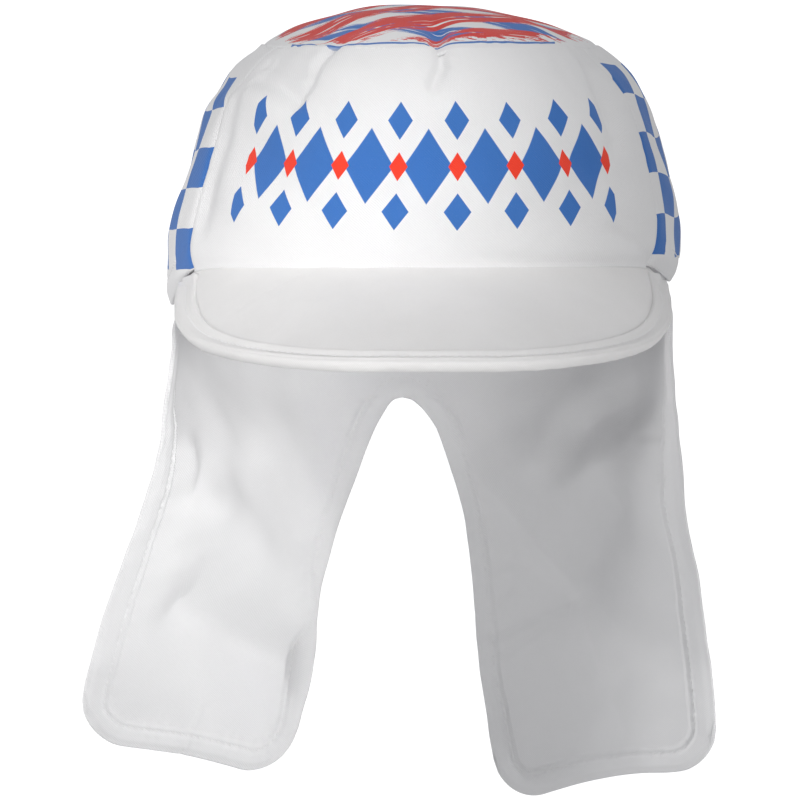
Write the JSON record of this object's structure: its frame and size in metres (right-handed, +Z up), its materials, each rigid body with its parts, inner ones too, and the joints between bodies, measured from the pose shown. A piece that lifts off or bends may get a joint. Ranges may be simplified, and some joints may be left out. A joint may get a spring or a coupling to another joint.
{
  "type": "legionnaire cap",
  "caption": "Soft cotton legionnaire cap: panelled crown, sewn peak with a turned binding, and a hemmed neck flap notched at the back into two lobes.",
  "frame": {"origin": "centre of the head opening, level with the crown's lower edge at the sides, where a head carries the cap", "axes": "+Z up through the top of the crown, the peak points along -Y, +X to the right as seen from the front"},
  "size_m": [0.2344, 0.2587, 0.3037],
  "materials": {
    "white_cotton": "matt cotton twill",
    "checked_cotton": "matt cotton twill with a printed blue check",
    "brushed_print_cotton": "matt cotton twill printed with red and blue dry-brush stripes",
    "binding_cotton": "matt cotton twill, folded and top-stitched",
    "flap_cotton": "matt cotton twill, slightly creased"
  },
  "bodies": {
    "root": {"front_panel": "white_cotton", "side_panel_left": "checked_cotton", "side_panel_right": "checked_cotton", "top_panel": "brushed_print_cotton", "peak": "white_cotton", "peak_binding": "binding_cotton", "neck_flap": "flap_cotton"}
  },
  "joints": []
}
